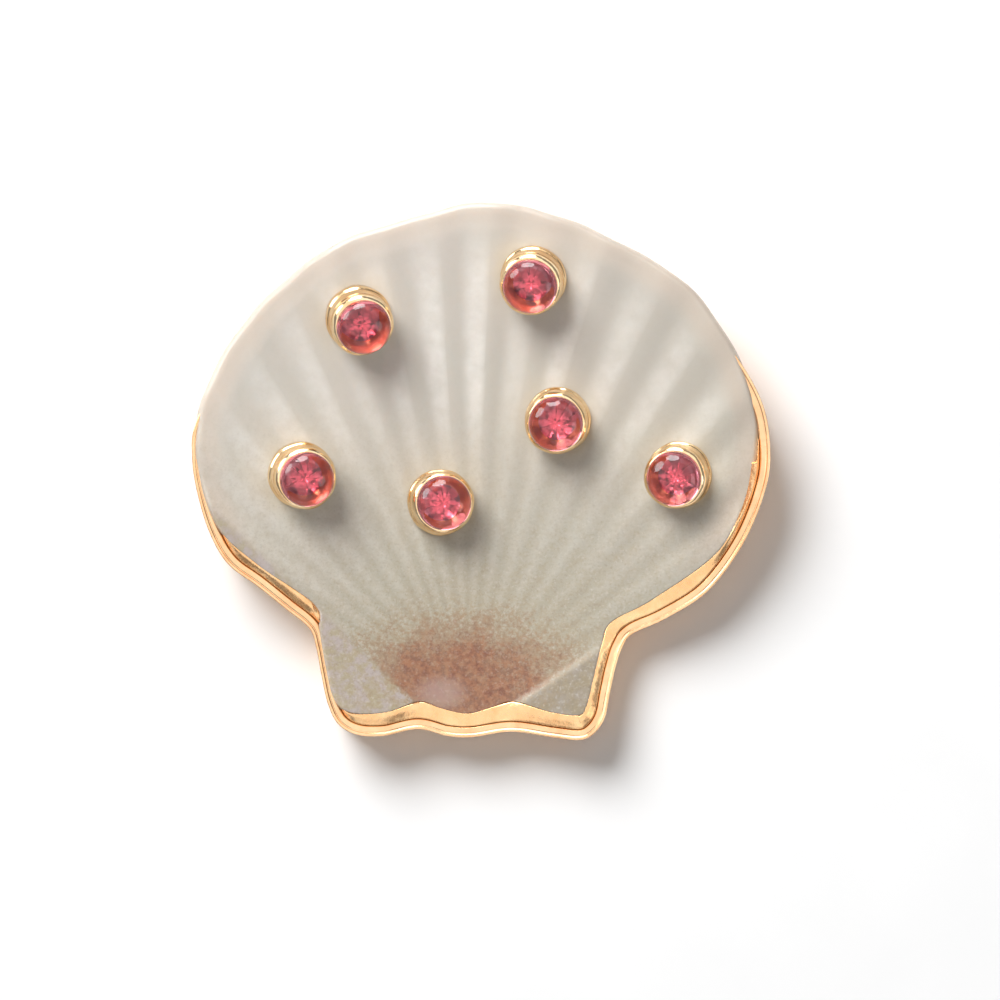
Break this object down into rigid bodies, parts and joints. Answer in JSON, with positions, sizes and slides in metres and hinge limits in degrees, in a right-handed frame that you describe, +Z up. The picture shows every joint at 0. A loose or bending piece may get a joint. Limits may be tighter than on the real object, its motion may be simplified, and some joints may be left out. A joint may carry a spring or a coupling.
{
  "type": "jewelled scallop shell",
  "caption": "A ribbed scallop valve, pearly pink-white with a brown hinge, hollow side up in a stepped rose-gold rim, set with domed pink-red stones in gold tubes.",
  "frame": {"origin": "the middle of the box's underside, on the surface that the rim rests on", "axes": "+X across the shell, +Y from the hinge to the fan's edge, +Z up out of the hollow face"},
  "size_m": [0.0428, 0.0398, 0.0095],
  "materials": {
    "shell": "polished shell",
    "gold_satin": "satin rose gold",
    "gold": "polished rose gold",
    "stone": "polished, see-through"
  },
  "bodies": {
    "root": {"shell": "shell", "rim_seat": "gold_satin", "rim_base": "gold", "setting_1": "gold", "setting_2": "gold", "setting_3": "gold", "setting_4": "gold", "setting_5": "gold", "setting_6": "gold", "stone_1": "stone", "stone_2": "stone", "stone_3": "stone", "stone_4": "stone", "stone_5": "stone", "stone_6": "stone"}
  },
  "joints": []
}
